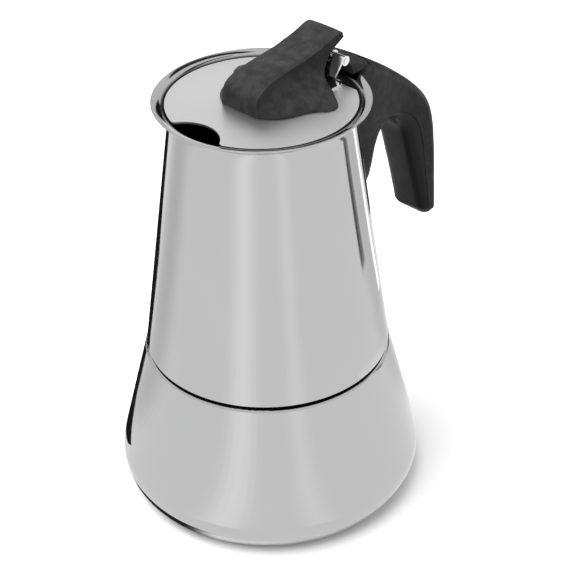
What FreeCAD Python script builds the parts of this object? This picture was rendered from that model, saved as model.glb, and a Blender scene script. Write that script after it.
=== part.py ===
import FreeCAD, Part
import math
import os

# Stove-top moka pot, conical stainless steel body with a black plastic handle and lid lever.
# Millimetres. Origin: centre of the flat underside. +Z up, +X towards the handle,
# so the pouring notch of the lid points along -X.

V = FreeCAD.Vector
X_AXIS = V(1, 0, 0)
Y_AXIS = V(0, 1, 0)
Z_AXIS = V(0, 0, 1)
ORIGIN = V(0, 0, 0)

# ---- driving dimensions -------------------------------------------------------------------

SHEET = 0.8                    # wall of the pressed steel parts
FACE_GAP = 0.05                # gap left between flat faces of pieces that come apart

# boiler (lower body)
BASE_PLATE_R = 54.5
BASE_PLATE_T = 0.8
BOILER_FLOOR_R = 56.2          # flat part of the underside
BOILER_ROUND_RUN = 9.1         # sideways reach of the rounding at the foot
BOILER_WIDEST_Z = 12.8
BOILER_TOP_R = 51.9
BOILER_TOP_Z = 67.5
SHOULDER_ROUND = 1.2
BOILER_WALL = 1.0

# threaded neck of the boiler and the ring of the vessel that screws over it
NECK_R_IN = 39.6
NECK_R_OUT = 42.0
NECK_TOP_Z = 82.0
RING_R_IN = 43.0
RING_R_OUT = 45.5
RING_BOTTOM_Z = 70.2

# vessel (upper body)
VESSEL_BOTTOM_Z = 69.6
VESSEL_BOTTOM_R = 51.4
FLARE_START_Z = 173.5
FLARE_START_R = 36.9
FLARE_R = 6.7                  # outer radius of the trumpet flare under the rim
FLARE_END_ANGLE = 98.0         # where the flare stops, degrees from +X about the flare's centre

# seal stack between boiler and vessel
FUNNEL_FLANGE_R = 41.7
GASKET_R_IN = 36.5
GASKET_R_OUT = 42.6
GASKET_T = 2.4
FILTER_R = 39.5
FLOOR_Z = 86.4                 # underside of the vessel's floor

# funnel
CUP_R_OUT = 38.2
CUP_STRAIGHT_Z = 60.0
CUP_CONE_Z = 50.0
STEM_R_OUT = 4.6
STEM_R_IN = 3.8
STEM_BOTTOM_Z = 6.5
STRAINER_Z = 61.0

# riser column
COLUMN_R_BOTTOM = 8.0
COLUMN_R_TOP = 6.2
COLUMN_TOP_Z = 160.0
FLOOR_DOME_Z = FLOOR_Z + 4.0

# safety valve, on the +Y side of the boiler
VALVE_Z = 42.0
VALVE_SHANK_R = 5.0
VALVE_BORE_R = 3.2
VALVE_STEM_R = 1.4
VALVE_INNER_Y = 52.0
VALVE_FACE_Y = 60.4            # outer face of the boss that the hexagon seats on
VALVE_OUTER_Y = 66.0
VALVE_HEX_ACROSS = 13.0
RUNNING_FIT = 0.05

# lid
LID_R = 37.7
LID_BOTTOM_Z = 179.4
LID_TOP_Z = LID_BOTTOM_Z + SHEET
LID_REAR_CUT_X = 31.0
NOTCH_R = 14.45
NOTCH_DEEPEST_X = -28.2

# hinge
PIN_X = 32.2
PIN_Z = 190.0
PIN_R = 1.2
CURL_R = PIN_R + RUNNING_FIT + SHEET
PLATE_HALF_W = 14.8
KNUCKLE_HALF_W = 8.5
BEND_X = 25.6
BEND_Z = 185.2
LOWER_CURL_X = 28.9
LOWER_CURL_R = 1.3
KNUCKLE_ARM_Z = 183.4          # underside of the knuckle's strap inside the handle's nose
KNUCKLE_ARM_T = 1.3
KNUCKLE_ARM_END_X = 43.5

# knob (thumb lever on the lid)
KNOB_HALF_W = 8.8
KNOB_FRONT_X = -12.0
KNOB_FLARE_H = 13.0             # height over which the sides flare out to the foot
KNOB_FOOT_OUTLINE = [           # x and half width of the foot on the lid
    (-13.0, 8.6), (-11.0, 10.6), (-8.5, 14.6), (-5.0, 17.2), (-1.0, 19.2), (4.0, 20.8), (7.5, 22.8),
    (10.0, 25.6), (12.5, 26.8), (15.0, 26.3), (17.5, 24.2), (20.0, 20.8), (22.5, 17.0), (28.0, 12.5),
    (38.0, 11.0),
]
KNOB_SCREW_X = (4.0, 19.0)
KNOB_SCREW_R = 2.0

# handle
HANDLE_HALF_W = 10.0           # half width of the grip
NOSE_HALF_W = 14.8             # half width over the rim
NOSE_X = 36.6
HANDLE_NARROW_X = 80.0         # where the handle has tapered to the width of the grip
HANDLE_OUTER_ROUND = 4.0       # rounding of the long outer edges
HANDLE_INNER_ROUND = 2.4       # rounding of the long edges on the finger side
HANDLE_SCREW_SEAT_Z = 151.5    # where the screw heads bear inside the inner shell's counterbores
HANDLE_SCREW_X = (55.0, 66.0)
HANDLE_SCREW_R = 2.0
TANG_Z = 157.0
TANG_T = 2.0
TANG_HALF_W = 6.0
TANG_END_X = 72.0


# ---- small helpers ------------------------------------------------------------------------

def rz(r, z):
    """Point of a half section: radius r, height z."""
    return V(r, 0, z)


def line(a, b):
    return Part.LineSegment(a, b).toShape()


def arc(a, b, c):
    return Part.Arc(a, b, c).toShape()


def polygon(points):
    """Closed wire of straight edges."""
    return Part.makePolygon(list(points) + [points[0]])


def turned(edges):
    """Solid of revolution about Z from the closed edges of a half section."""
    return Part.Face(Part.Wire(edges)).revolve(ORIGIN, Z_AXIS, 360)


def turned_polygon(pairs):
    """Solid of revolution about Z from (r, z) corners."""
    return Part.Face(polygon([rz(r, z) for r, z in pairs])).revolve(ORIGIN, Z_AXIS, 360)


def disc(radius, z_low, z_high):
    return Part.makeCylinder(radius, z_high - z_low, V(0, 0, z_low), Z_AXIS)


def tube(r_in, r_out, z_low, z_high):
    return disc(r_out, z_low, z_high).cut(disc(r_in, z_low, z_high))


def rod_y(radius, x, z, y_low, y_high):
    """Cylinder along Y."""
    return Part.makeCylinder(radius, y_high - y_low, V(x, y_low, z), Y_AXIS)


def box(x_low, x_high, half_w, z_low, z_high):
    """Box that is symmetric about the XZ plane."""
    return Part.makeBox(x_high - x_low, 2 * half_w, z_high - z_low, V(x_low, -half_w, z_low))


def slab(wire, half_w):
    """Closed wire in the XZ plane, thickened by half_w to each side."""
    face = Part.Face(wire)
    face.translate(V(0, -half_w, 0))
    return face.extrude(V(0, 2 * half_w, 0))


def smooth(points):
    """One B-spline edge through the points."""
    curve = Part.BSplineCurve()
    curve.interpolate(points)
    return curve.toShape()


def save(shape, node):
    shape = shape.removeSplitter()
    solids = shape.Solids
    result = solids[0] if len(solids) == 1 else Part.makeCompound(solids)
    result.exportStep("parts/%s.step" % node)
    print(node, len(solids), result.isValid(), round(sum(s.Volume for s in solids), 1))


# ---- half sections shared by several pieces -----------------------------------------------

def boiler_tangent(shrink):
    """Where the straight cone of the boiler leaves the elliptical rounding of the foot.

    shrink moves the whole outline inwards. Returns the tangent point and the cone's top corner.
    """
    run = BOILER_ROUND_RUN - shrink
    rise = BOILER_WIDEST_Z - BASE_PLATE_T - shrink
    top_r = BOILER_TOP_R - shrink
    top_z = BOILER_TOP_Z - shrink
    low, high = 0.0, math.pi / 3
    for _ in range(60):
        angle = (low + high) / 2
        r = BOILER_FLOOR_R + run * math.cos(angle)
        z = BOILER_WIDEST_Z + rise * math.sin(angle)
        slope = -run / rise * math.tan(angle)
        if (top_r - r) / (top_z - z) < slope:
            low = angle
        else:
            high = angle
    return (r, z), (top_r, top_z)


def boiler_outline(shrink):
    """Edges of the boiler's half section, closed along the axis."""
    (r, z), (top_r, top_z) = boiler_tangent(shrink)
    run = BOILER_ROUND_RUN - shrink
    rise = BOILER_WIDEST_Z - BASE_PLATE_T - shrink
    floor_z = BASE_PLATE_T + shrink
    count = 8
    angle_end = math.asin((z - BOILER_WIDEST_Z) / rise)
    foot = []
    for i in range(count + 1):
        angle = -math.pi / 2 + (angle_end + math.pi / 2) * i / count
        foot.append(rz(BOILER_FLOOR_R + run * math.cos(angle), BOILER_WIDEST_Z + rise * math.sin(angle)))
    rounding = max(SHOULDER_ROUND - shrink, 0.3)
    cone = V(top_r - r, 0, top_z - z).normalize()
    before = rz(top_r, top_z) - cone * rounding
    after = rz(top_r - rounding, top_z)
    middle = (before + after) * 0.5 + (rz(top_r, top_z) - (before + after) * 0.5) * 0.42
    return [
        line(rz(0, floor_z), foot[0]),
        smooth(foot),
        line(foot[-1], before),
        arc(before, middle, after),
        line(after, rz(0, top_z)),
        line(rz(0, top_z), rz(0, floor_z)),
    ]


def cone_direction():
    return (rz(FLARE_START_R, FLARE_START_Z) - rz(VESSEL_BOTTOM_R, VESSEL_BOTTOM_Z)).normalize()


def flare_centre():
    """Centre of the flare's arc, on the outside of the wall."""
    direction = cone_direction()
    outward = V(direction.z, 0, -direction.x)
    return rz(FLARE_START_R, FLARE_START_Z) + outward * FLARE_R


def flare_point(radius, angle):
    centre = flare_centre()
    return centre + V(math.cos(math.radians(angle)), 0, math.sin(math.radians(angle))) * radius


def vessel_outer_r(z):
    """Outer radius of the straight part of the vessel at height z."""
    share = (z - VESSEL_BOTTOM_Z) / (FLARE_START_Z - VESSEL_BOTTOM_Z)
    return VESSEL_BOTTOM_R + (FLARE_START_R - VESSEL_BOTTOM_R) * share


# ---- boiler -------------------------------------------------------------------------------

def base_plate():
    plate = disc(BASE_PLATE_R, 0, BASE_PLATE_T)
    return plate


def valve_hole(radius):
    return rod_y(radius, 0, VALVE_Z, 40, 80)


def boiler_shell():
    outer = turned(boiler_outline(0))
    inner = turned(boiler_outline(BOILER_WALL))
    mouth = disc(NECK_R_OUT + FACE_GAP, BOILER_TOP_Z - 5, BOILER_TOP_Z + 5)
    return outer.cut(inner).cut(mouth).cut(valve_hole(VALVE_SHANK_R + 3.05))


def boiler_neck():
    corner = 0.6
    return turned_polygon([
        (NECK_R_IN, BOILER_TOP_Z - 3.0),
        (NECK_R_OUT, BOILER_TOP_Z - 3.0),
        (NECK_R_OUT, NECK_TOP_Z - corner),
        (NECK_R_OUT - corner, NECK_TOP_Z),
        (NECK_R_IN, NECK_TOP_Z),
    ])


# ---- safety valve -------------------------------------------------------------------------

def valve_boss():
    """Welded bush that gives the tilted wall a flat seat for the valve."""
    bush = rod_y(VALVE_SHANK_R + 3.0, 0, VALVE_Z, 55.0, VALVE_FACE_Y - 0.9)
    return bush.cut(valve_hole(VALVE_SHANK_R + RUNNING_FIT))


def valve_washer():
    y_low = VALVE_FACE_Y - 0.9
    return rod_y(VALVE_SHANK_R + 2.0, 0, VALVE_Z, y_low, VALVE_FACE_Y).cut(valve_hole(VALVE_SHANK_R + RUNNING_FIT))


def hexagon(across, y_low, y_high):
    """Hexagonal bar along Y on the valve's axis."""
    reach = across / math.sqrt(3)
    corners = []
    for i in range(6):
        angle = math.radians(60 * i)
        corners.append(V(reach * math.cos(angle), y_low, VALVE_Z + reach * math.sin(angle)))
    return Part.Face(polygon(corners)).extrude(V(0, y_high - y_low, 0))


def valve_body():
    shank = rod_y(VALVE_SHANK_R, 0, VALVE_Z, VALVE_INNER_Y, VALVE_FACE_Y + 0.5)
    head = hexagon(VALVE_HEX_ACROSS, VALVE_FACE_Y, VALVE_FACE_Y + 3.5)
    nose = rod_y(4.6, 0, VALVE_Z, VALVE_FACE_Y + 3.0, VALVE_OUTER_Y - 1.0)
    bore = rod_y(VALVE_BORE_R, 0, VALVE_Z, VALVE_INNER_Y + 1.0, VALVE_OUTER_Y - 2.5)
    stem_way = valve_hole(VALVE_STEM_R + RUNNING_FIT)
    return shank.fuse(head).fuse(nose).cut(bore).cut(stem_way)


def valve_nut():
    nut = hexagon(VALVE_HEX_ACROSS, VALVE_INNER_Y - 0.5, VALVE_INNER_Y + 2.5)
    return nut.cut(valve_hole(VALVE_SHANK_R + RUNNING_FIT))


def valve_plunger():
    head = rod_y(VALVE_BORE_R - 0.2, 0, VALVE_Z, VALVE_INNER_Y + 1.0 + FACE_GAP, VALVE_INNER_Y + 2.3)
    stem = rod_y(VALVE_STEM_R, 0, VALVE_Z, VALVE_INNER_Y + 1.5, VALVE_OUTER_Y)
    return head.fuse(stem)


def valve_spring():
    wire_r = 0.3
    coil_r = 2.2
    y_low = VALVE_INNER_Y + 2.3 + wire_r + FACE_GAP
    y_high = VALVE_OUTER_Y - 2.5 - wire_r - FACE_GAP
    turns = 5
    helix = Part.makeHelix((y_high - y_low) / turns, y_high - y_low, coil_r)
    section = Part.Wire(Part.makeCircle(wire_r, V(coil_r, 0, 0), Y_AXIS))
    coil = Part.Wire(helix.Edges).makePipeShell([section], True, True)
    coil.rotate(ORIGIN, X_AXIS, -90)
    coil.translate(V(0, y_low, VALVE_Z))
    return coil


# ---- funnel -------------------------------------------------------------------------------

def perforated(plate, rings, spacing, hole_r, z_low, z_high):
    """Plate with a centre hole and rings of holes, six more in each ring."""
    holes = [Part.makeCylinder(hole_r, z_high - z_low, V(0, 0, z_low), Z_AXIS)]
    for ring in range(1, rings + 1):
        for i in range(6 * ring):
            angle = 2 * math.pi * i / (6 * ring)
            place = V(ring * spacing * math.cos(angle), ring * spacing * math.sin(angle), z_low)
            holes.append(Part.makeCylinder(hole_r, z_high - z_low, place, Z_AXIS))
    return plate.cut(Part.makeCompound(holes))


def funnel_cup():
    low_z = NECK_TOP_Z + FACE_GAP
    wall = SHEET
    return turned_polygon([
        (FUNNEL_FLANGE_R, low_z),
        (FUNNEL_FLANGE_R, low_z + wall),
        (CUP_R_OUT - wall, low_z + wall),
        (CUP_R_OUT - wall, STRAINER_Z),
        (CUP_R_OUT - wall - 1.5, STRAINER_Z - FACE_GAP),
        (CUP_R_OUT - wall - 1.5, CUP_STRAIGHT_Z),
        (STEM_R_OUT + FACE_GAP, CUP_CONE_Z + 1.0),
        (STEM_R_OUT + FACE_GAP, CUP_CONE_Z - 3.0),
        (STEM_R_OUT + wall, CUP_CONE_Z - 3.0),
        (STEM_R_OUT + wall, CUP_CONE_Z),
        (CUP_R_OUT, CUP_STRAIGHT_Z - 1.0),
        (CUP_R_OUT, low_z),
    ])


def funnel_stem():
    return tube(STEM_R_IN, STEM_R_OUT, STEM_BOTTOM_Z, CUP_CONE_Z + 1.0)


def funnel_strainer():
    plate = disc(CUP_R_OUT - SHEET - 0.1, STRAINER_Z + FACE_GAP, STRAINER_Z + 0.6)
    return perforated(plate, 5, 6.0, 1.0, STRAINER_Z - 1, STRAINER_Z + 2)


# ---- seal stack ---------------------------------------------------------------------------

def gasket():
    z_low = NECK_TOP_Z + SHEET + 2 * FACE_GAP
    ring = tube(GASKET_R_IN, GASKET_R_OUT, z_low, z_low + GASKET_T)
    return ring


def filter_plate():
    z_low = NECK_TOP_Z + SHEET + 3 * FACE_GAP + GASKET_T
    plate = disc(FILTER_R, z_low, z_low + SHEET)
    return perforated(plate, 5, 6.4, 0.9, z_low - 1, z_low + 2)


# ---- vessel -------------------------------------------------------------------------------

def vessel_shell():
    direction = cone_direction()
    inward = V(-direction.z, 0, direction.x)
    start_angle = 180 + math.degrees(math.atan2(-direction.x, direction.z))
    mid_angle = (start_angle + FLARE_END_ANGLE) / 2
    inner_r = FLARE_R + SHEET
    outer_low = rz(VESSEL_BOTTOM_R, VESSEL_BOTTOM_Z)
    inner_low = outer_low + inward * SHEET
    outer_start = rz(FLARE_START_R, FLARE_START_Z)
    inner_start = outer_start + inward * SHEET
    outer_end = flare_point(FLARE_R, FLARE_END_ANGLE)
    inner_end = flare_point(inner_r, FLARE_END_ANGLE)
    lip = (outer_end + inner_end) * 0.5 + V(SHEET / 2, 0, 0)
    foot = (outer_low + inner_low) * 0.5 - direction * (SHEET / 2)
    return turned([
        arc(inner_low, foot, outer_low),
        line(outer_low, outer_start),
        arc(outer_start, flare_point(FLARE_R, mid_angle), outer_end),
        arc(outer_end, lip, inner_end),
        arc(inner_end, flare_point(inner_r, mid_angle), inner_start),
        line(inner_start, inner_low),
    ])


def vessel_inner_r(z):
    return vessel_outer_r(z) - SHEET / cone_direction().z


def vessel_floor():
    top_z = FLOOR_Z + 1.0
    rim_r = vessel_inner_r(top_z) - 0.05
    hole_r = COLUMN_R_BOTTOM + 0.1
    return turned_polygon([
        (rim_r, FLOOR_Z),
        (rim_r, top_z),
        (24.4, top_z),
        (12.3, FLOOR_DOME_Z + 1.0),
        (hole_r, FLOOR_DOME_Z + 1.0),
        (hole_r, FLOOR_DOME_Z),
        (12.0, FLOOR_DOME_Z),
        (24.0, FLOOR_Z),
    ])


def thread_ring():
    return tube(RING_R_IN, RING_R_OUT, RING_BOTTOM_Z, FLOOR_Z - FACE_GAP)


def riser_column():
    wall = SHEET
    seat_z = FLOOR_DOME_Z + 1.0 + FACE_GAP
    return turned_polygon([
        (COLUMN_R_BOTTOM - wall, FLOOR_DOME_Z),
        (COLUMN_R_BOTTOM, FLOOR_DOME_Z),
        (COLUMN_R_BOTTOM, seat_z),
        (11.0, seat_z),
        (11.0, seat_z + wall),
        (COLUMN_R_BOTTOM - 0.2, seat_z + wall),
        (COLUMN_R_TOP, COLUMN_TOP_Z),
        (COLUMN_R_TOP - wall, COLUMN_TOP_Z),
    ])


def column_cap():
    """Hood pushed over the column's top, with two side windows for the coffee."""
    low_z = COLUMN_TOP_Z - 4.0
    top_z = COLUMN_TOP_Z + 7.0
    r_in = COLUMN_R_TOP + 0.12
    r_out = r_in + SHEET
    hood = turned_polygon([
        (r_in, low_z),
        (r_out, low_z),
        (r_out, top_z - 2.0),
        (r_out - 2.0, top_z),
        (0, top_z + 0.6),
        (0, top_z - 0.4),
        (r_in - 1.6, top_z - 1.0),
        (r_in, top_z - 2.4),
    ])
    window = Part.makeBox(5.0, 30, 4.2, V(-2.5, -15, COLUMN_TOP_Z + 0.3))
    return hood.cut(window)


# ---- lid, knob and hinge ------------------------------------------------------------------

def screw_positions():
    return [V(x, 0, 0) for x in KNOB_SCREW_X]


def lid_disc():
    plate = disc(LID_R, LID_BOTTOM_Z, LID_TOP_Z)
    plate = plate.cut(box(LID_REAR_CUT_X, LID_R + 5, LID_R, LID_BOTTOM_Z - 1, LID_TOP_Z + 1))
    notch = Part.makeCylinder(NOTCH_R, 10, V(NOTCH_DEEPEST_X - NOTCH_R, 0, LID_BOTTOM_Z - 5), Z_AXIS)
    plate = plate.cut(notch)
    corners = []
    for edge in plate.Edges:
        upright = abs(edge.Vertexes[0].X - edge.Vertexes[-1].X) < 1e-6
        upright = upright and abs(edge.Vertexes[0].Y - edge.Vertexes[-1].Y) < 1e-6
        if upright and edge.Vertexes[0].X < -30 and edge.Length < 1:
            corners.append(edge)
    plate = plate.makeFillet(2.0, corners)
    for place in screw_positions():
        plate = plate.cut(Part.makeCylinder(KNOB_SCREW_R, 10, place + V(0, 0, LID_BOTTOM_Z - 5), Z_AXIS))
    return plate


def knob_side():
    """Side outline of the knob: front, rising thumb strip, top end, hollow rear, foot."""
    z0 = LID_TOP_Z + FACE_GAP
    strip = [
        V(KNOB_FRONT_X, 0, z0 + 4.0),
        V(-10.6, 0, z0 + 8.3),
        V(-5.0, 0, z0 + 11.2),
        V(4.0, 0, z0 + 12.8),
        V(16.0, 0, z0 + 14.1),
        V(26.0, 0, z0 + 16.1),
        V(35.4, 0, z0 + 18.9),
    ]
    top_end = V(37.6, 0, z0 + 16.3)
    waist = V(23.4, 0, z0 + 5.6)
    foot = V(22.4, 0, z0)
    front = V(KNOB_FRONT_X, 0, z0)
    return Part.Wire([
        line(front, strip[0]),
        smooth(strip),
        arc(strip[-1], V(37.2, 0, z0 + 18.1), top_end),
        line(top_end, V(30.4, 0, z0 + 12.4)),
        line(V(30.4, 0, z0 + 12.4), waist),
        line(waist, foot),
        line(foot, front),
    ])


def knob_layer(height):
    """Plan outline of the knob at one height above the lid, symmetric about the XZ plane."""
    flare = max(0.0, 1.0 - height / KNOB_FLARE_H) ** 2
    z = LID_TOP_Z + FACE_GAP + height
    right = []
    for x, foot in KNOB_FOOT_OUTLINE:
        right.append(V(x, -KNOB_HALF_W - (foot - KNOB_HALF_W) * flare, z))
    left = [V(p.x, -p.y, p.z) for p in reversed(right)]
    return Part.Wire([
        smooth(right),
        line(right[-1], left[0]),
        smooth(left),
        line(left[-1], right[0]),
    ])


def lid_knob():
    z0 = LID_TOP_Z + FACE_GAP
    levels = [knob_layer(h) for h in (0.0, 1.5, 3.5, 6.0, 9.0, 12.5, 21.0)]
    flared = Part.makeLoft(levels, True, False)
    knob = slab(knob_side(), 40).common(flared)
    knob = knob.cut(box(11.8, 40, PLATE_HALF_W + 0.2, z0 - 1, z0 + SHEET + 0.1))
    for place in screw_positions():
        knob = knob.cut(Part.makeCylinder(KNOB_SCREW_R, 9, place + V(0, 0, z0 - 1), Z_AXIS))
    return knob


def knob_screws():
    """Two identical pan head screws, put in from under the lid."""
    screws = []
    for place in screw_positions():
        shank = Part.makeCylinder(KNOB_SCREW_R - 0.05, 8.5, place + V(0, 0, LID_BOTTOM_Z - 0.5), Z_AXIS)
        head = Part.makeCylinder(3.6, 2.0, place + V(0, 0, LID_BOTTOM_Z - 2.0 - FACE_GAP), Z_AXIS)
        head = head.makeFillet(0.9, [head.Edges[2]])
        slot = Part.makeBox(8, 0.9, 0.9, place + V(-4, -0.45, LID_BOTTOM_Z - 2.1 - FACE_GAP))
        screws.append(head.fuse(shank).cut(slot))
    return Part.makeCompound(screws)


def strap(a, b, thickness, half_w):
    """Flat strip of sheet from point a to point b of the XZ plane, thickness on its left."""
    along = (b - a).normalize()
    side = V(-along.z, 0, along.x) * thickness
    return slab(polygon([a, b, b + side, a + side]), half_w)


def hinge_plate():
    """Bent steel plate behind the knob: tongue, two legs, a rolled foot and two pin curls."""
    half = PLATE_HALF_W
    tongue_z = LID_TOP_Z + FACE_GAP
    bend = V(BEND_X, 0, BEND_Z)
    foot = V(LOWER_CURL_X - LOWER_CURL_R, 0, tongue_z)
    lower_leg = strap(foot, bend, -SHEET, half)
    tongue = box(12.0, foot.x + SHEET, half, tongue_z, tongue_z + SHEET)
    curl_z = tongue_z + LOWER_CURL_R
    roll = rod_y(LOWER_CURL_R, LOWER_CURL_X, curl_z, -half, half)
    roll = roll.cut(rod_y(LOWER_CURL_R - 0.6, LOWER_CURL_X, curl_z, -half, half))
    pin = V(PIN_X, 0, PIN_Z)
    reach = pin - bend
    lean = math.asin(CURL_R / reach.Length)
    tilt = math.atan2(reach.z, reach.x) + lean
    end = bend + V(math.cos(tilt), 0, math.sin(tilt)) * (reach.Length * math.cos(lean))
    upper_leg = strap(bend, end, -SHEET, half)
    curls = rod_y(CURL_R, PIN_X, PIN_Z, -half, half)
    plate = tongue.fuse([lower_leg, roll, upper_leg, curls])
    plate = plate.cut(rod_y(PIN_R + RUNNING_FIT, PIN_X, PIN_Z, -half - 1, half + 1))
    plate = plate.cut(rod_y(CURL_R + 2.0, PIN_X, PIN_Z, -KNUCKLE_HALF_W - 0.4, KNUCKLE_HALF_W + 0.4))
    return plate.cut(Part.makeCylinder(KNOB_SCREW_R, 10, V(KNOB_SCREW_X[1], 0, tongue_z - 5), Z_AXIS))


def hinge_pin():
    reach = PLATE_HALF_W + 0.3
    return rod_y(PIN_R, PIN_X, PIN_Z, -reach, reach)


def hinge_knuckle():
    """Steel eye on the hinge pin, with a strap that is moulded into the handle's nose."""
    half = KNUCKLE_HALF_W
    eye = rod_y(2.6, PIN_X, PIN_Z, -half, half)
    arm_z = KNUCKLE_ARM_Z
    arm = box(PIN_X + 2.0, KNUCKLE_ARM_END_X, half - 1.5, arm_z, arm_z + KNUCKLE_ARM_T)
    neck = slab(polygon([
        V(PIN_X - 0.6, 0, PIN_Z - 2.2),
        V(PIN_X + 2.0, 0, PIN_Z - 1.2),
        V(PIN_X + 3.6, 0, arm_z + KNUCKLE_ARM_T),
        V(PIN_X + 3.6, 0, arm_z),
        V(PIN_X + 1.6, 0, arm_z),
    ]), half - 1.5)
    return eye.fuse([arm, neck]).cut(rod_y(PIN_R + 0.02, PIN_X, PIN_Z, -half - 1, half + 1))


# ---- handle -------------------------------------------------------------------------------

def handle_crown():
    """Ridge line of the handle, from the nose over the rim down to the end of the grip."""
    return [
        V(NOSE_X, 0, 187.6),
        V(46.0, 0, 184.3),
        V(57.0, 0, 178.1),
        V(67.0, 0, 171.6),
        V(79.0, 0, 162.6),
        V(89.0, 0, 153.4),
        V(95.3, 0, 143.6),
        V(97.9, 0, 135.4),
        V(99.3, 0, 125.0),
        V(100.1, 0, 114.6),
        V(101.0, 0, 102.0),
        V(101.6, 0, 90.0),
    ]


def handle_inside():
    """Line of the handle's inner side, from the end of the grip round the arch to the root."""
    return [
        V(91.6, 0, 92.0),
        V(87.8, 0, 106.0),
        V(84.2, 0, 118.0),
        V(80.6, 0, 130.0),
        V(77.4, 0, 139.0),
        V(71.5, 0, 145.8),
        V(64.0, 0, 147.8),
        V(57.0, 0, 145.6),
        V(52.6, 0, 139.4),
        V(50.4, 0, 132.0),
        V(47.4, 0, 126.0),
    ]


def parting_line():
    """Line on the side of the handle where the inner shell meets the outer shell."""
    return [
        V(30.0, 0, 143.6),
        V(47.5, 0, 147.4),
        V(55.0, 0, 150.0),
        V(63.0, 0, 151.2),
        V(71.0, 0, 150.2),
        V(79.0, 0, 146.2),
        V(85.2, 0, 139.0),
        V(88.4, 0, 130.0),
        V(90.6, 0, 118.0),
        V(93.0, 0, 104.0),
        V(97.2, 0, 80.0),
    ]


def handle_plan():
    """Plan outline of the handle: wide over the rim, narrow at the grip."""
    sides = []
    for sign in (-1, 1):
        shoulder = V(NOSE_X + 1.5, sign * NOSE_HALF_W, 0)
        grip = V(HANDLE_NARROW_X, sign * HANDLE_HALF_W, 0)
        taper = Part.BSplineCurve()
        taper.interpolate(Points=[shoulder, grip], InitialTangent=X_AXIS * 30, FinalTangent=X_AXIS * 46)
        sides.append([
            line(V(NOSE_X - 14, sign * NOSE_HALF_W, 0), shoulder),
            taper.toShape(),
            line(grip, V(115.0, sign * HANDLE_HALF_W, 0)),
        ])
    ends = [
        line(V(115.0, -HANDLE_HALF_W, 0), V(115.0, HANDLE_HALF_W, 0)),
        line(V(NOSE_X - 14, NOSE_HALF_W, 0), V(NOSE_X - 14, -NOSE_HALF_W, 0)),
    ]
    wire = Part.Wire(Part.__sortEdges__(sides[0] + sides[1] + ends))
    face = Part.Face(wire)
    face.translate(V(0, 0, 60))
    return face.extrude(V(0, 0, 150))


def rim_clearance():
    """Everything that the vessel's wall and rim take up, a little enlarged."""
    grow = 0.1
    return turned_polygon([
        (0, 60),
        (vessel_outer_r(60) + grow, 60),
        (vessel_outer_r(FLARE_START_Z) + grow, FLARE_START_Z),
        (FLARE_START_R + 0.9, FLARE_START_Z + 3.4),
        (FLARE_START_R + 2.8, FLARE_START_Z + 6.0),
        (44.0, FLARE_START_Z + 7.0),
        (44.0, FLARE_START_Z + 9.2),
        (0, FLARE_START_Z + 9.2),
    ])


def handle_body():
    """Whole handle before it is split into its two shells."""
    crown = handle_crown()
    inside = handle_inside()
    tip = V(94.6, 0, 87.6)
    root_low = V(34.0, 0, 122.5)
    root_top = V(34.0, 0, 182.6)
    outline = Part.Wire([
        smooth(crown),
        arc(crown[-1], V(98.6, 0, 87.0), tip),
        line(tip, inside[0]),
        smooth(inside),
        line(inside[-1], root_low),
        line(root_low, root_top),
        line(root_top, V(NOSE_X, 0, 182.7)),
        line(V(NOSE_X, 0, 182.7), crown[0]),
    ])
    body = slab(outline, 30).common(handle_plan())
    body = body.makeFillet(HANDLE_OUTER_ROUND, long_edges(body, crown))
    body = body.makeFillet(HANDLE_INNER_ROUND, long_edges(body, inside))
    body = body.cut(rim_clearance())
    return max(body.Solids, key=lambda s: s.Volume)


def long_edges(body, side_line):
    """Edges of the handle that run along one of its side lines, on both sides of the XZ plane."""
    track = smooth(side_line)
    found = []
    for edge in body.Edges:
        middle = edge.valueAt((edge.FirstParameter + edge.LastParameter) / 2)
        level = Part.Vertex(V(middle.x, 0, middle.z))
        if edge.Length > 20 and edge.BoundBox.XLength > 1.5 and track.distToShape(level)[0] < 0.05:
            found.append(edge)
    return found


def handle_inner_region():
    """Space under the parting line, on the pot's side of the handle."""
    line_points = parting_line()
    low_left = V(20, 0, 80)
    wire = Part.Wire([
        smooth(line_points),
        line(line_points[-1], low_left),
        line(low_left, line_points[0]),
    ])
    return slab(wire, 40)


def bracket_pad():
    """Sector of sheet that follows the vessel's wall where the bracket is welded on."""
    z_low, z_high = 146.0, 168.0
    sheet = turned_polygon([
        (vessel_outer_r(z_low) + 0.02, z_low),
        (vessel_outer_r(z_low) + 1.5, z_low),
        (vessel_outer_r(z_high) + 1.5, z_high),
        (vessel_outer_r(z_high) + 0.02, z_high),
    ])
    return sheet.common(box(20, 60, TANG_HALF_W, z_low - 1, z_high + 1))


def handle_bracket():
    tang = box(vessel_outer_r(TANG_Z), TANG_END_X, TANG_HALF_W, TANG_Z, TANG_Z + TANG_T)
    wall = turned_polygon([
        (0, 100),
        (vessel_outer_r(100) + 0.02, 100),
        (vessel_outer_r(FLARE_START_Z) + 0.02, FLARE_START_Z),
        (0, FLARE_START_Z),
    ])
    bracket = bracket_pad().fuse(tang).cut(wall)
    for x in HANDLE_SCREW_X:
        bracket = bracket.cut(Part.makeCylinder(HANDLE_SCREW_R + 0.1, 20, V(x, 0, TANG_Z - 5), Z_AXIS))
    return bracket


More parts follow.
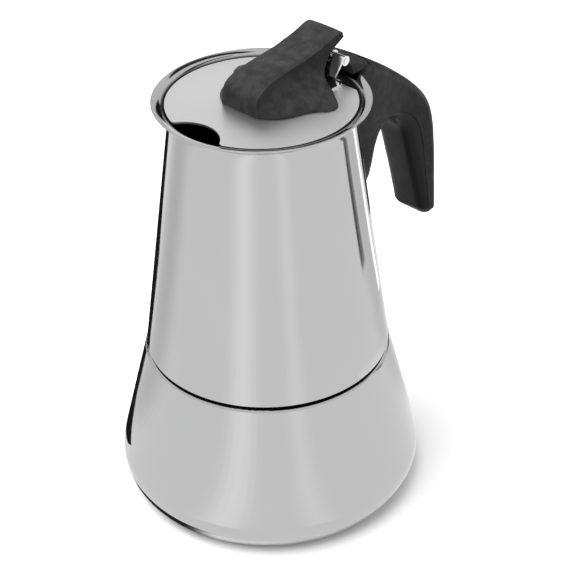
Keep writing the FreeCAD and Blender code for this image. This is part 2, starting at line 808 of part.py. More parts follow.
def bracket_pocket():
    """Pocket in the plastic for the bracket, the knuckle's strap and the screws."""
    grow = 0.1
    tang = box(30, TANG_END_X + grow, TANG_HALF_W + grow, TANG_Z - grow, TANG_Z + TANG_T + grow)
    pad = turned_polygon([
        (0, 145.9),
        (vessel_outer_r(145.9) + 1.6, 145.9),
        (vessel_outer_r(168.1) + 1.6, 168.1),
        (0, 168.1),
    ]).common(box(20, 60, TANG_HALF_W + grow, 140, 170))
    arm_top = KNUCKLE_ARM_Z + KNUCKLE_ARM_T + grow
    strap_slot = box(30, KNUCKLE_ARM_END_X + grow, KNUCKLE_HALF_W - 1.4, KNUCKLE_ARM_Z - grow, arm_top)
    pocket = tang.fuse([pad, strap_slot])
    for x in HANDLE_SCREW_X:
        pocket = pocket.fuse(Part.makeCylinder(HANDLE_SCREW_R + 0.02, 24, V(x, 0, TANG_Z - 14), Z_AXIS))
        pocket = pocket.fuse(Part.makeCylinder(3.7, 20, V(x, 0, HANDLE_SCREW_SEAT_Z - 20), Z_AXIS))
    return pocket


def handle_screws():
    """Two identical screws through the inner shell and the bracket into the outer shell."""
    screws = []
    for x in HANDLE_SCREW_X:
        head = Part.makeCylinder(3.5, 2.2, V(x, 0, HANDLE_SCREW_SEAT_Z - 2.2 - FACE_GAP), Z_AXIS)
        shank = Part.makeCylinder(HANDLE_SCREW_R, 15.0, V(x, 0, HANDLE_SCREW_SEAT_Z - 0.5), Z_AXIS)
        slot = Part.makeBox(8, 0.9, 1.0, V(x - 4, -0.45, HANDLE_SCREW_SEAT_Z - 2.3 - FACE_GAP))
        screws.append(head.fuse(shank).cut(slot))
    return Part.makeCompound(screws)


# ---- write every node ---------------------------------------------------------------------

def main():
    os.makedirs("parts", exist_ok=True)

    save(base_plate(), "base_plate")
    save(boiler_shell(), "boiler_shell")
    save(boiler_neck(), "boiler_neck")
    save(valve_boss(), "valve_boss")
    save(valve_washer(), "valve_washer")
    save(valve_body(), "valve_body")
    save(valve_nut(), "valve_nut")
    save(valve_plunger(), "valve_plunger")
    save(valve_spring(), "valve_spring")

    save(funnel_cup(), "funnel_cup")
    save(funnel_stem(), "funnel_stem")
    save(funnel_strainer(), "funnel_strainer")

    save(gasket(), "gasket")
    save(filter_plate(), "filter_plate")

    save(vessel_shell(), "vessel_shell")
    save(vessel_floor(), "vessel_floor")
    save(thread_ring(), "thread_ring")
    save(riser_column(), "riser_column")
    save(column_cap(), "column_cap")

    save(lid_disc(), "lid_disc")
    save(lid_knob(), "lid_knob")
    save(knob_screws(), "knob_screws")
    save(hinge_plate(), "hinge_plate")
    save(hinge_pin(), "hinge_pin")
    save(hinge_knuckle(), "hinge_knuckle")

    body = handle_body()
    inner_region = handle_inner_region()
    pocket = bracket_pocket()
    save(body.cut(inner_region).cut(pocket), "handle_outer_shell")
    save(body.common(inner_region).cut(pocket), "handle_inner_shell")
    save(handle_bracket(), "handle_bracket")
    save(handle_screws(), "handle_screws")


main()
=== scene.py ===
"""Looks of the moka pot: materials, the moulded plastic, and the studio it stands in."""
import math

import bmesh
import bpy
from mathutils import Matrix, Vector


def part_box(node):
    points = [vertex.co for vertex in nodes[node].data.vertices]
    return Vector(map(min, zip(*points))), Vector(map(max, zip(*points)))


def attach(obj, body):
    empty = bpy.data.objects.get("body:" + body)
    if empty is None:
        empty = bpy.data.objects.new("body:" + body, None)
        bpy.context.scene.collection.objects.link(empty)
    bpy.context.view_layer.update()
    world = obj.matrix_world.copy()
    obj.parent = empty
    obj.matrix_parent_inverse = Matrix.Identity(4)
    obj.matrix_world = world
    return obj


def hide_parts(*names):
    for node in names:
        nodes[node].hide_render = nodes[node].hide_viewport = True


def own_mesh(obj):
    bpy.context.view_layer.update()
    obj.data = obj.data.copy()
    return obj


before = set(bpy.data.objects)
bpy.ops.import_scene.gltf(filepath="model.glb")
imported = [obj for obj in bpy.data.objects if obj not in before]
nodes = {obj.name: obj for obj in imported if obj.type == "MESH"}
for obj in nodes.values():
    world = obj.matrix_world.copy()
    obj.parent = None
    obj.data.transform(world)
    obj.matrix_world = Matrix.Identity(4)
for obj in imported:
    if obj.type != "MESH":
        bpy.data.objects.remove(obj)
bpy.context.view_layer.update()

# ---- camera pose and studio -----------------------------------------------------------------
CAMERA_AT = (-0.3736, -0.3736, 0.4598)
CAMERA_TURN = -45.84            # degrees about Z
CAMERA_DOWN = 34.76             # degrees below the horizon
CAMERA_ROLL = -1.026
CAMERA_LENS = 96.99
SENSOR = 36.0
CAMERA_SIDE = -135.0            # azimuth from the pot towards the camera, degrees
FLOOR_SIZE = 60.0


# ---- small helpers --------------------------------------------------------------------------

def node_tree(name):
    """A new material with nothing but an output and a Principled shader."""
    material = bpy.data.materials.new(name)
    material.use_nodes = True
    tree = material.node_tree
    tree.nodes.clear()
    output = tree.nodes.new("ShaderNodeOutputMaterial")
    shader = tree.nodes.new("ShaderNodeBsdfPrincipled")
    tree.links.new(shader.outputs["BSDF"], output.inputs["Surface"])
    return material, tree, shader


def math_node(tree, operation, a, b=0.0):
    node = tree.nodes.new("ShaderNodeMath")
    node.operation = operation
    for socket, value in zip(node.inputs, (a, b)):
        if isinstance(value, (int, float)):
            socket.default_value = value
        else:
            tree.links.new(value, socket)
    return node.outputs[0]


def remap(tree, value, low, high, to_low, to_high):
    """Value clamped to low..high and stretched onto to_low..to_high."""
    node = tree.nodes.new("ShaderNodeMapRange")
    tree.links.new(value, node.inputs["Value"])
    node.inputs["From Min"].default_value = low
    node.inputs["From Max"].default_value = high
    node.inputs["To Min"].default_value = to_low
    node.inputs["To Max"].default_value = to_high
    return node.outputs["Result"]


def noise(tree, vector, scale, detail=2.0, roughness=0.5):
    node = tree.nodes.new("ShaderNodeTexNoise")
    node.inputs["Scale"].default_value = scale
    node.inputs["Detail"].default_value = detail
    node.inputs["Roughness"].default_value = roughness
    tree.links.new(vector, node.inputs["Vector"])
    return node.outputs["Fac"]


def place(tree):
    """The point on the object, in the frame of the pot."""
    return tree.nodes.new("ShaderNodeTexCoord").outputs["Object"]


def blend_colours(tree, factor, first, second):
    node = tree.nodes.new("ShaderNodeMix")
    node.data_type = "RGBA"
    tree.links.new(factor, node.inputs["Factor"])
    for socket, value in zip((node.inputs["A"], node.inputs["B"]), (first, second)):
        if hasattr(value, "is_output"):
            tree.links.new(value, socket)
        else:
            socket.default_value = (*value, 1.0)
    return node.outputs["Result"]


def bump(tree, shader, height, depth, strength=1.0):
    node = tree.nodes.new("ShaderNodeBump")
    node.inputs["Strength"].default_value = strength
    node.inputs["Distance"].default_value = depth
    tree.links.new(height, node.inputs["Height"])
    tree.links.new(node.outputs["Normal"], shader.inputs["Normal"])


def edge_highlight_mask(tree, low, high):
    """1 on outside edges and 0 on flat ground, from the mesh's own curvature; it marks where a painted
    highlight goes.
    """
    geometry = tree.nodes.new("ShaderNodeNewGeometry")
    return remap(tree, geometry.outputs["Pointiness"], low, high, 0.0, 1.0)


def about_axis(tree):
    """Direction from the pot's axis (x and y parts), distance from the axis, and height."""
    split = tree.nodes.new("ShaderNodeSeparateXYZ")
    tree.links.new(place(tree), split.inputs[0])
    x, y, z = split.outputs
    squares = [math_node(tree, "MULTIPLY", v, v) for v in (x, y)]
    reach = math_node(tree, "SQRT", math_node(tree, "ADD", *squares))
    safe = math_node(tree, "MAXIMUM", reach, 0.0005)
    return math_node(tree, "DIVIDE", x, safe), math_node(tree, "DIVIDE", y, safe), reach, z


def turning_lines(tree, across, along=1.5):
    """Fine lines round the pot's axis, as left by turning and polishing."""
    side_x, side_y, reach, z = about_axis(tree)
    join = tree.nodes.new("ShaderNodeCombineXYZ")
    tree.links.new(math_node(tree, "MULTIPLY", side_x, along), join.inputs[0])
    tree.links.new(math_node(tree, "MULTIPLY", side_y, along), join.inputs[1])
    level = math_node(tree, "MULTIPLY", math_node(tree, "ADD", z, reach), across)
    tree.links.new(level, join.inputs[2])
    return noise(tree, join.outputs[0], 1.0, 3.0, 0.6)


def inside_dull_and_shade_mask(tree, lip_reach):
    """1 on faces that look towards the pot's axis, fading out at the polished lip; it carries the inside's
    duller roughness and its painted shade.
    """
    side_x, side_y, reach, z = about_axis(tree)
    split = tree.nodes.new("ShaderNodeSeparateXYZ")
    tree.links.new(tree.nodes.new("ShaderNodeTexCoord").outputs["Normal"], split.inputs[0])
    outward = math_node(
        tree, "ADD",
        math_node(tree, "MULTIPLY", side_x, split.outputs[0]),
        math_node(tree, "MULTIPLY", side_y, split.outputs[1]),
    )
    inward = remap(tree, outward, -0.02, 0.02, 1.0, 0.0)
    high = remap(tree, z, 0.165, 0.170, 0.0, 1.0)
    at_lip = remap(tree, reach, lip_reach, lip_reach + 0.0008, 0.0, 1.0)
    kept = math_node(tree, "SUBTRACT", 1.0, math_node(tree, "MULTIPLY", high, at_lip))
    return math_node(tree, "MULTIPLY", inward, kept)


# ---- materials ------------------------------------------------------------------------------

def polished_steel(name, colour, rough, line_depth, lip_reach=None):
    """Mirror-polished sheet: faint turning lines, soft hazy patches and brighter edges, the last a painted
    highlight.

    With lip_reach, the side that looks towards the axis is the dull inside of a vessel, painted nearly
    black as shade.
    """
    material, tree, shader = node_tree(name)
    lines = turning_lines(tree, 2600.0)
    haze = noise(tree, place(tree), 28.0, 3.0)
    rough_lines = remap(tree, lines, 0.3, 0.7, rough - 0.015, rough + 0.015)
    rough_haze = remap(tree, haze, 0.35, 0.65, -0.02, 0.03)
    roughness = math_node(tree, "ADD", rough_lines, rough_haze)
    tint = blend_colours(tree, haze, colour, tuple(c * 1.05 for c in colour))
    # Edges blended towards a light grey: a painted highlight.
    tint_with_painted_light = blend_colours(tree, edge_highlight_mask(tree, 0.53, 0.62), tint, (0.85, 0.85, 0.86))
    if lip_reach is not None:
        # The inside is made rougher (real dull steel) and painted nearly black: painted shade in the gap
        # under the lid.
        inside = inside_dull_and_shade_mask(tree, lip_reach)
        tint_with_painted_light = blend_colours(tree, inside, tint_with_painted_light, (0.035, 0.034, 0.033))
        roughness = math_node(tree, "MAXIMUM", roughness, math_node(tree, "MULTIPLY", inside, 0.42))
    tree.links.new(roughness, shader.inputs["Roughness"])
    tree.links.new(tint_with_painted_light, shader.inputs["Base Color"])
    shader.inputs["Metallic"].default_value = 1.0
    bump(tree, shader, lines, line_depth)
    return material


def satin_steel(name, colour, rough):
    """Turned, unpolished steel, as on the neck, the funnel and the inner parts."""
    material, tree, shader = node_tree(name)
    lines = turning_lines(tree, 4200.0)
    patches = noise(tree, place(tree), 60.0, 4.0)
    tree.links.new(remap(tree, lines, 0.25, 0.75, rough * 0.7, rough * 1.3), shader.inputs["Roughness"])
    tint = blend_colours(tree, patches, colour, tuple(c * 0.86 for c in colour))
    # Edges blended towards a light grey: a painted highlight.
    bright = blend_colours(tree, edge_highlight_mask(tree, 0.53, 0.6), tint, (0.8, 0.8, 0.81))
    tree.links.new(bright, shader.inputs["Base Color"])
    shader.inputs["Metallic"].default_value = 1.0
    shader.inputs["Anisotropic"].default_value = 0.4
    bump(tree, shader, lines, 0.00003)
    return material


def pressed_steel(name, colour, rough, scale):
    """Small pressed or drawn pieces: bright, with short scratches in all directions."""
    material, tree, shader = node_tree(name)
    scratches = noise(tree, place(tree), scale, 5.0, 0.7)
    tree.links.new(remap(tree, scratches, 0.3, 0.7, rough * 0.6, rough * 1.5), shader.inputs["Roughness"])
    tint = blend_colours(tree, scratches, colour, tuple(c * 0.9 for c in colour))
    # Edges blended towards a near white: a painted highlight.
    bright = blend_colours(tree, edge_highlight_mask(tree, 0.52, 0.6), tint, (0.9, 0.9, 0.9))
    tree.links.new(bright, shader.inputs["Base Color"])
    shader.inputs["Metallic"].default_value = 1.0
    bump(tree, shader, scratches, 0.00004)
    return material


def brass(name):
    material, tree, shader = node_tree(name)
    patches = noise(tree, place(tree), 350.0, 4.0)
    tint = blend_colours(tree, patches, (0.62, 0.43, 0.17), (0.45, 0.29, 0.11))
    # Edges blended towards a pale gold: a painted highlight.
    bright = blend_colours(tree, edge_highlight_mask(tree, 0.53, 0.6), tint, (0.85, 0.66, 0.33))
    tree.links.new(bright, shader.inputs["Base Color"])
    tree.links.new(remap(tree, patches, 0.3, 0.7, 0.2, 0.38), shader.inputs["Roughness"])
    shader.inputs["Metallic"].default_value = 1.0
    bump(tree, shader, patches, 0.00003)
    return material


def silicone(name):
    material, tree, shader = node_tree(name)
    patches = noise(tree, place(tree), 180.0, 3.0)
    tint = blend_colours(tree, patches, (0.78, 0.77, 0.72), (0.68, 0.66, 0.6))
    tree.links.new(tint, shader.inputs["Base Color"])
    tree.links.new(remap(tree, patches, 0.3, 0.7, 0.4, 0.6), shader.inputs["Roughness"])
    shader.inputs["Subsurface Weight"].default_value = 0.2
    shader.inputs["Subsurface Radius"].default_value = (0.002, 0.002, 0.0018)
    bump(tree, shader, patches, 0.00003)
    return material


def black_plastic(name, colour, rough, grain_size, grain_depth, mottle, specular):
    """Moulded heat-proof plastic: fine grain, cloudy patches and lighter edges, the last a painted
    highlight.
    """
    material, tree, shader = node_tree(name)
    point = place(tree)
    grain = noise(tree, point, 1.0 / grain_size, 2.0, 0.6)
    clouds = noise(tree, point, 240.0, 5.0, 0.65)
    cloudy = remap(tree, clouds, 0.35, 0.68, 0.0, 1.0)
    lighter = tuple(c * mottle for c in colour)
    tint = blend_colours(tree, cloudy, colour, lighter)
    # Edges blended towards a lighter grey: a painted highlight.
    mottle_with_edge_highlight = blend_colours(tree, edge_highlight_mask(tree, 0.515, 0.58), tint, tuple(c * 2.2 for c in colour))
    tree.links.new(mottle_with_edge_highlight, shader.inputs["Base Color"])
    spread = remap(tree, clouds, 0.3, 0.7, rough + 0.05, rough - 0.05)
    fine = remap(tree, grain, 0.3, 0.7, -0.06, 0.06)
    tree.links.new(math_node(tree, "ADD", spread, fine), shader.inputs["Roughness"])
    shader.inputs["Specular IOR Level"].default_value = specular
    bump(tree, shader, grain, grain_depth, 0.7)
    return material


def give(material, *names):
    """Puts one material on carried-over CAD nodes."""
    for name in names:
        mesh = nodes[name].data
        mesh.materials.clear()
        mesh.materials.append(material)


def finish_materials():
    """Makes every material and puts it on the CAD nodes that stay as they are."""
    made = {
        "polished_steel": polished_steel("polished_steel", (0.52, 0.52, 0.525), 0.07, 0.000002, 0.0386),
        # The lid's steel gets a far lighter base colour than the body's: painted light, making up for the
        # key light kept out of reflections.
        "lid_steel": polished_steel("lid_steel", (0.80, 0.80, 0.805), 0.4, 0.0000004),
        "satin_steel": satin_steel("satin_steel", (0.42, 0.42, 0.42), 0.3),
        "hinge_steel": pressed_steel("hinge_steel", (0.55, 0.55, 0.56), 0.14, 900.0),
        "screw_steel": pressed_steel("screw_steel", (0.5, 0.5, 0.5), 0.3, 700.0),
        "brass": brass("brass"),
        "silicone": silicone("silicone"),
        "black_plastic": black_plastic(
            "black_plastic", (0.014, 0.014, 0.014), 0.42, 0.0005, 0.00008, 2.2, 0.12),
        "black_plastic_grip": black_plastic(
            "black_plastic_grip", (0.006, 0.006, 0.0058), 0.34, 0.0004, 0.00003, 1.5, 0.14),
    }
    give(made["polished_steel"], "boiler_shell", "vessel_shell")
    give(made["lid_steel"], "lid_disc")
    give(made["satin_steel"], "base_plate", "boiler_neck", "valve_boss", "funnel_cup", "funnel_stem",
         "funnel_strainer", "filter_plate", "vessel_floor", "thread_ring", "riser_column", "column_cap",
         "handle_bracket")
    give(made["hinge_steel"], "hinge_plate", "hinge_pin", "hinge_knuckle")
    give(made["screw_steel"], "knob_screws", "handle_screws", "valve_spring")
    give(made["brass"], "valve_body", "valve_nut", "valve_plunger")
    give(made["silicone"], "gasket", "valve_washer")
    give(made["black_plastic"], "lid_knob", "handle_outer_shell")
    give(made["black_plastic_grip"], "handle_inner_shell")
    return made


# ---- moulded plastic and threads ------------------------------------------------------------

MM = 0.001
KNOB_HALF_W = 8.8
KNOB_FLARE_H = 13.0             # height over which the sides flare out to the foot
KNOB_CROWN = 0.35               # rise of the thumb strip towards its middle
KNOB_FOOT_OUTLINE = [           # x and half width of the foot on the lid
    (-13.0, 8.6), (-11.0, 10.6), (-8.5, 14.6), (-5.0, 17.2), (-1.0, 19.2), (4.0, 20.8), (7.5, 22.8),
    (10.0, 25.6), (12.5, 26.8), (15.0, 26.3), (17.5, 24.2), (20.0, 20.8), (22.5, 17.0), (28.0, 12.5),
    (38.0, 11.0),
]
KNOB_STATIONS = [               # x and height of the underside, then of the top
    (-12.0, 0.0, -12.0, 4.2), (-11.4, 0.0, -11.6, 6.6), (-10.2, 0.0, -10.3, 8.6), (-8.0, 0.0, -8.0, 10.1),
    (-5.0, 0.0, -5.0, 11.2), (0.0, 0.0, 0.0, 12.3), (5.0, 0.0, 5.0, 12.95), (10.0, 0.0, 10.0, 13.45),
    (14.0, 0.0, 13.5, 13.85), (18.0, 0.0, 16.5, 14.2), (20.5, 0.0, 18.5, 14.55), (22.4, 0.0, 20.5, 14.95),
    (23.0, 2.8, 22.0, 15.3), (23.4, 5.6, 23.5, 15.55), (26.5, 8.6, 26.5, 16.2), (30.4, 12.4, 30.4, 17.3),
    (34.2, 14.5, 34.2, 18.5), (37.6, 16.3, 36.9, 18.5),
]
HANDLE_STATIONS = [             # x and z of the outer line, then of the inner line
    (36.6, 187.6, 34.0, 122.5), (40.5, 186.4, 41.5, 124.0), (46.0, 184.3, 47.4, 126.0),
    (51.0, 181.6, 50.4, 132.0), (55.5, 179.0, 52.6, 139.4), (62.0, 174.9, 57.0, 145.6),
    (72.0, 168.0, 64.0, 147.8), (82.0, 160.0, 71.5, 145.8), (91.8, 149.9, 77.4, 139.0),
    (96.9, 139.0, 80.6, 130.0), (99.5, 122.5, 84.2, 118.0), (100.8, 105.0, 87.8, 106.0),
    (101.6, 91.0, 91.3, 93.4), (100.9, 88.8, 92.2, 90.8), (98.8, 87.3, 94.2, 88.3),
]
HANDLE_PARTING = [              # x and z of the line where the inner shell meets the outer one
    (30.0, 143.6), (47.5, 147.4), (55.0, 150.0), (63.0, 151.2), (71.0, 150.2), (79.0, 146.2),
    (85.2, 139.0), (88.4, 130.0), (90.6, 118.0), (93.0, 104.0), (97.2, 80.0),
]
NOSE_HALF_W = 14.8
GRIP_HALF_W = 10.0
TAPER_FROM_X = 38.1
TAPER_TO_X = 80.0
HANDLE_OUTER_ROUND = 4.2
HANDLE_TIP_SLIM = 2.4           # how much narrower the grip gets on each side at its end
HANDLE_CROWN = 0.5              # rise of the outer face towards its middle
PARTING_GROOVE = 0.12           # half the groove between the two shells
LID_TOP_Z = 180.25
NECK_R_OUT = 42.0
RING_R_IN = 43.0
THREAD_PITCH = 3.0
THREAD_DEPTH = 0.4


def through(points, per_step):
    """Points on a smooth curve (Catmull-Rom) through rows of numbers."""
    rows = []
    for i in range(len(points) - 1):
        before = points[max(i - 1, 0)]
        start, end = points[i], points[i + 1]
        after = points[min(i + 2, len(points) - 1)]
        for k in range(per_step):
            t = k / per_step
            rows.append(tuple(
                0.5 * (2 * b + (c - a) * t + (2 * a - 5 * b + 4 * c - d) * t * t
                       + (3 * b - a - 3 * c + d) * t ** 3)
                for a, b, c, d in zip(before, start, end, after)
            ))
    rows.append(tuple(points[-1]))
    return rows


def level_between(pairs, x):
    """Value at x of a line through (x, value) pairs."""
    for (x0, v0), (x1, v1) in zip(pairs, pairs[1:]):
        if x <= x1:
            return v0 + (v1 - v0) * max(0.0, x - x0) / (x1 - x0)
    return pairs[-1][1]


def solid_from_loops(name, loops):
    """Closed mesh through closed loops of equal length, with a face on each end."""
    points = [tuple(c * MM for c in p) for loop in loops for p in loop]
    count = len(loops[0])
    faces = []
    for i in range(len(loops) - 1):
        for j in range(count):
            k = (j + 1) % count
            faces.append((i * count + j, i * count + k, (i + 1) * count + k, (i + 1) * count + j))
    faces.append(tuple(reversed(range(count))))
    last = (len(loops) - 1) * count
    faces.append(tuple(range(last, last + count)))
    mesh = bpy.data.meshes.new(name)
    mesh.from_pydata(points, [], faces)
    cleaner = bmesh.new()
    cleaner.from_mesh(mesh)
    bmesh.ops.recalc_face_normals(cleaner, faces=cleaner.faces)
    cleaner.to_mesh(mesh)
    cleaner.free()
    piece = bpy.data.objects.new(name, mesh)
    bpy.context.scene.collection.objects.link(piece)
    return piece


def baked(piece, smooth_angle=35.0):
    """Applies the piece's modifiers and shades it smooth up to an angle."""
    bpy.context.view_layer.update()
    graph = bpy.context.evaluated_depsgraph_get()
    mesh = bpy.data.meshes.new_from_object(piece.evaluated_get(graph))
    piece.modifiers.clear()
    piece.data = mesh
    mesh.shade_smooth()
    mesh.set_sharp_from_angle(angle=math.radians(smooth_angle))
    return piece


def bevel(piece, width, segments=3, angle=40.0):
    modifier = piece.modifiers.new("bevel", "BEVEL")
    modifier.width = width * MM
    modifier.segments = segments
    modifier.limit_method = "ANGLE"
    modifier.angle_limit = math.radians(angle)


def cut(piece, tool, operation="DIFFERENCE"):
    """Boolean with another piece, which is used up."""
    modifier = piece.modifiers.new("cut", "BOOLEAN")
    modifier.operation = operation
    modifier.object = tool
    modifier.solver = "EXACT"
    baked(piece)
    bpy.data.objects.remove(tool)


def knob_half_width(x, height):
    """Half width of the lever: the foot's outline at the bottom, straight sides from the flare up."""
    foot_h = 0.9
    flare = max(0.0, 1.0 - max(0.0, height - foot_h) / (KNOB_FLARE_H - foot_h)) ** 2
    return KNOB_HALF_W + (level_between(KNOB_FOOT_OUTLINE, x) - KNOB_HALF_W) * flare


def knob():
    """Lid lever: rounded strip on top, sides that flare out to a wide foot."""
    across, up = 6, 10
    loops = []
    for x_low, low, x_top, top in through(KNOB_STATIONS, 3):
        low = max(0.0, low)
        loop = []
        for j in range(across):
            share = 1.0 - 2.0 * j / across
            loop.append((x_low, share * knob_half_width(x_low, low), LID_TOP_Z + low))
        for side in (-1.0, 1.0):
            column = []
            for j in range(up):
                share = j / up
                x = x_low + (x_top - x_low) * share
                height = low + (top - low) * share
                column.append((x, side * knob_half_width(x, height), LID_TOP_Z + height))
            if side < 0:
                loop += column
                for j in range(across + 1):
                    share = 2.0 * j / across - 1.0
                    crown = KNOB_CROWN * (1.0 - share * share)
                    loop.append((x_top, share * knob_half_width(x_top, top), LID_TOP_Z + top + crown))
            else:
                loop += list(reversed(column[1:]))
        loops.append(loop)
    piece = solid_from_loops("lid_lever", loops)
    bevel(piece, 0.8, 4, 38.0)
    return baked(piece)


def handle_half_width(x):
    share = min(1.0, max(0.0, (x - TAPER_FROM_X) / (TAPER_TO_X - TAPER_FROM_X)))
    return NOSE_HALF_W + (GRIP_HALF_W - NOSE_HALF_W) * share * share * (3.0 - 2.0 * share)


def handle_section(outer, inner, outer_round, inner_round, narrower, crown):
    """Rounded section between a point on the outer line and one on the inner line."""
    along = Vector((outer[0] - inner[0], outer[1] - inner[1]))
    length = along.length
    along.normalize()
    half = []
    steps = 6
    for k in range(steps + 1):
        angle = math.pi / 2 * k / steps
        half.append((inner_round * (1 - math.cos(angle)), inner_round * (1 - math.sin(angle))))
    for k in range(1, 8):
        half.append((inner_round + (length - inner_round - outer_round) * k / 8, 0.0))
    for k in range(steps + 1):
        angle = math.pi / 2 * k / steps
        half.append((length - outer_round * (1 - math.sin(angle)), outer_round * (1 - math.cos(angle))))
    loop = []
    for side in (1.0, -1.0):
        part = []
        for reach, inset in half:
            x = inner[0] + along.x * reach
            z = inner[1] + along.y * reach
            part.append((x, side * (handle_half_width(x) - inset - narrower), z))
        loop += part if side > 0 else list(reversed(part))
        if side > 0:
            wide = handle_half_width(outer[0]) - outer_round - narrower
            for k in range(1, 6):
                share = 1.0 - 2.0 * k / 6
                lift = crown * (1.0 - share * share)
                loop.append((outer[0] + along.x * lift, share * wide, outer[1] + along.y * lift))
    return loop


def handle_blank(name, inner_round, narrower):
    """Whole handle, lofted through its stations and slimmed towards the end of the grip."""
    loops = []
    rows = through(HANDLE_STATIONS, 4)
    tip_rows = 8
    for i, (x_out, z_out, x_in, z_in) in enumerate(rows):
        tip = max(0.0, (i + 1 - (len(rows) - tip_rows)) / tip_rows)
        slim = HANDLE_TIP_SLIM * tip * tip
        largest = 0.45 * math.hypot(x_out - x_in, z_out - z_in)
        outer_round = min(HANDLE_OUTER_ROUND, largest)
        round_in = min(inner_round, largest)
        loops.append(handle_section(
            (x_out, z_out), (x_in, z_in), outer_round, round_in, slim + narrower, HANDLE_CROWN))
    return solid_from_loops(name, loops)


def prism(name, outline, half_w):
    """Flat outline in the XZ plane made solid along Y."""
    loops = [[(x, y, z) for x, z in outline] for y in (-half_w, half_w)]
    return solid_from_loops(name, loops)


def turned_blank(name, outline, steps=96):
    """Solid of revolution about the pot's axis; the outline starts and ends on the axis."""
    inner = outline[1:-1]
    points = [(0.0, 0.0, outline[0][1] * MM), (0.0, 0.0, outline[-1][1] * MM)]
    for i in range(steps):
        angle = 2 * math.pi * i / steps
        for r, z in inner:
            points.append((r * math.cos(angle) * MM, r * math.sin(angle) * MM, z * MM))
    count = len(inner)
    faces = []
    for i in range(steps):
        a = 2 + i * count
        b = 2 + (i + 1) % steps * count
        faces.append((0, b, a))
        faces.append((1, a + count - 1, b + count - 1))
        for j in range(count - 1):
            faces.append((a + j, b + j, b + j + 1, a + j + 1))
    mesh = bpy.data.meshes.new(name)
    mesh.from_pydata(points, [], faces)
    piece = bpy.data.objects.new(name, mesh)
    bpy.context.scene.collection.objects.link(piece)
    return piece


def vessel_clearance():
    """Everything that the vessel's wall and rim take up, a little enlarged."""
    low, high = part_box("vessel_shell")
    bottom_r = 51.5
    rim_r = max(high.x, -low.x) / MM + 0.5
    neck_r, neck_z = 37.0, 173.5
    foot_z = 69.6
    slope = (bottom_r - neck_r) / (neck_z - foot_z)
    return turned_blank("clearance", [
        (0.0, 60.0), (bottom_r + slope * (foot_z - 60.0), 60.0), (neck_r + 0.1, neck_z),
        (neck_r + 0.8, neck_z + 3.4), (neck_r + 2.7, neck_z + 6.0), (rim_r, neck_z + 7.0),
        (rim_r, neck_z + 9.2), (0.0, neck_z + 9.2),
    ])


def parting_region(shift):
    """Space on the finger side of the parting line, moved outwards by shift."""
    curve = through(HANDLE_PARTING, 5)
    moved = []
    for i, (x, z) in enumerate(curve):
        x0, z0 = curve[max(i - 1, 0)]
        x1, z1 = curve[min(i + 1, len(curve) - 1)]
        reach = math.hypot(x1 - x0, z1 - z0)
        moved.append((x - (z1 - z0) / reach * shift, z + (x1 - x0) / reach * shift))
    return prism("region", moved + [(20.0, 80.0)], 40.0)


def handle():
    """The two moulded halves of the handle, with a groove along their parting line."""
    outer = handle_blank("handle_outer", 3.0, 0.0)
    cut(outer, vessel_clearance())
    cut(outer, parting_region(PARTING_GROOVE))
    inner = handle_blank("handle_inner", 5.0, PARTING_GROOVE)
    cut(inner, vessel_clearance())
    cut(inner, parting_region(-PARTING_GROOVE), "INTERSECT")
    return outer, inner


def thread(name, root, crest, z_low, z_high, start):
    """Rolled thread ridge: a rounded triangular section along a helix."""
    per_turn = 72
    steps = int(per_turn * (z_high - z_low) / THREAD_PITCH)
    loops = []
    for i in range(steps + 1):
        angle = start + 2 * math.pi * i / per_turn
        z = z_low + THREAD_PITCH * i / per_turn
        fade = min(1.0, i / 12.0, (steps - i) / 12.0)
        tip = root + (crest - root) * max(fade, 0.05)
        wall = root - (crest - root) * 0.4
        loop = []
        for r, dz in ((wall, -0.9), (root, -0.75), (tip, -0.2), (tip, 0.2), (root, 0.75), (wall, 0.9)):
            loop.append((r * math.cos(angle), r * math.sin(angle), z + dz))
        loops.append(loop)
    return baked(solid_from_loops(name, loops), 50.0)


def coil(name, low, high, middle_z, coil_r, wire_r, turns):
    """Coil spring along Y, drawn as a round wire on a helix."""
    steps = turns * 28
    loops = []
    for i in range(steps + 1):
        angle = 2 * math.pi * i * turns / steps
        y = low + wire_r + (high - low - 2 * wire_r) * i / steps
        loop = []
        for k in range(8):
            spin = 2 * math.pi * k / 8
            r = coil_r + wire_r * math.cos(spin)
            loop.append((r * math.cos(angle), y + wire_r * math.sin(spin), middle_z + r * math.sin(angle)))
        loops.append(loop)
    return baked(solid_from_loops(name, loops), 60.0)


def moulded_pieces(materials):
    """The pieces made here: lever, handle shells, thread ridges and the valve's spring."""
    lever = knob()
    outer, inner = handle()
    for piece, body, node, slot_name in (
        (lever, "lid", "lid_knob", "black_plastic"),
        (outer, "vessel", "handle_outer_shell", "black_plastic"),
        (inner, "vessel", "handle_inner_shell", "black_plastic_grip"),
    ):
        piece.data.materials.clear()
        piece.data.materials.append(materials[slot_name])
        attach(piece, body)
        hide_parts(node)
    neck = thread("neck_thread", NECK_R_OUT, NECK_R_OUT + THREAD_DEPTH, 71.6, 80.6, 0.0)
    ring = thread("ring_thread", RING_R_IN, RING_R_IN - THREAD_DEPTH, 72.6, 78.0, 0.9)
    for piece, body in ((neck, "boiler"), (ring, "vessel")):
        piece.data.materials.append(materials["satin_steel"])
        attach(piece, body)
    low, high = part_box("valve_spring")
    spring = coil("spring_coil", low.y / MM, high.y / MM, (low.z + high.z) / 2 / MM, 2.2, 0.3, 5)
    spring.data.materials.append(materials["screw_steel"])
    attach(spring, "boiler")
    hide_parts("valve_spring")
    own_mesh(spring)


# ---- stage, light and camera ----------------------------------------------------------------

